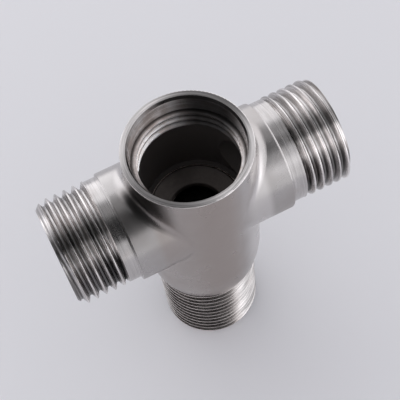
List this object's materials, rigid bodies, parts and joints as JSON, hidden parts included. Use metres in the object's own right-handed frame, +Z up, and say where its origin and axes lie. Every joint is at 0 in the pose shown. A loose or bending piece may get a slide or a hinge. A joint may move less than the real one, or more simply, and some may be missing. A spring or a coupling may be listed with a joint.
{
  "type": "tee valve body",
  "caption": "Three-way stainless valve body: an upright barrel with a threaded mouth, two opposite threaded arms and a long threaded shank below.",
  "frame": {"origin": "centre of the lower shank's end face, on the surface that the fitting stands on", "axes": "+Z up the barrel towards its mouth, +X along the right arm, +Y away from the viewer"},
  "size_m": [0.0568, 0.024, 0.0655],
  "materials": {
    "cast_steel": "satin, blasted and lightly brushed stainless casting",
    "turned_steel": "bright turned stainless with fine tool marks",
    "seat_steel": "dull machined stainless",
    "weld_steel": "bright smooth weld bead"
  },
  "bodies": {
    "root": {"valve_body": "cast_steel", "valve_seat": "seat_steel", "left_nipple": "turned_steel", "right_nipple": "turned_steel", "lower_shank": "turned_steel", "left_weld_seam": "weld_steel", "right_weld_seam": "weld_steel", "shank_weld_seam": "weld_steel"}
  },
  "joints": []
}
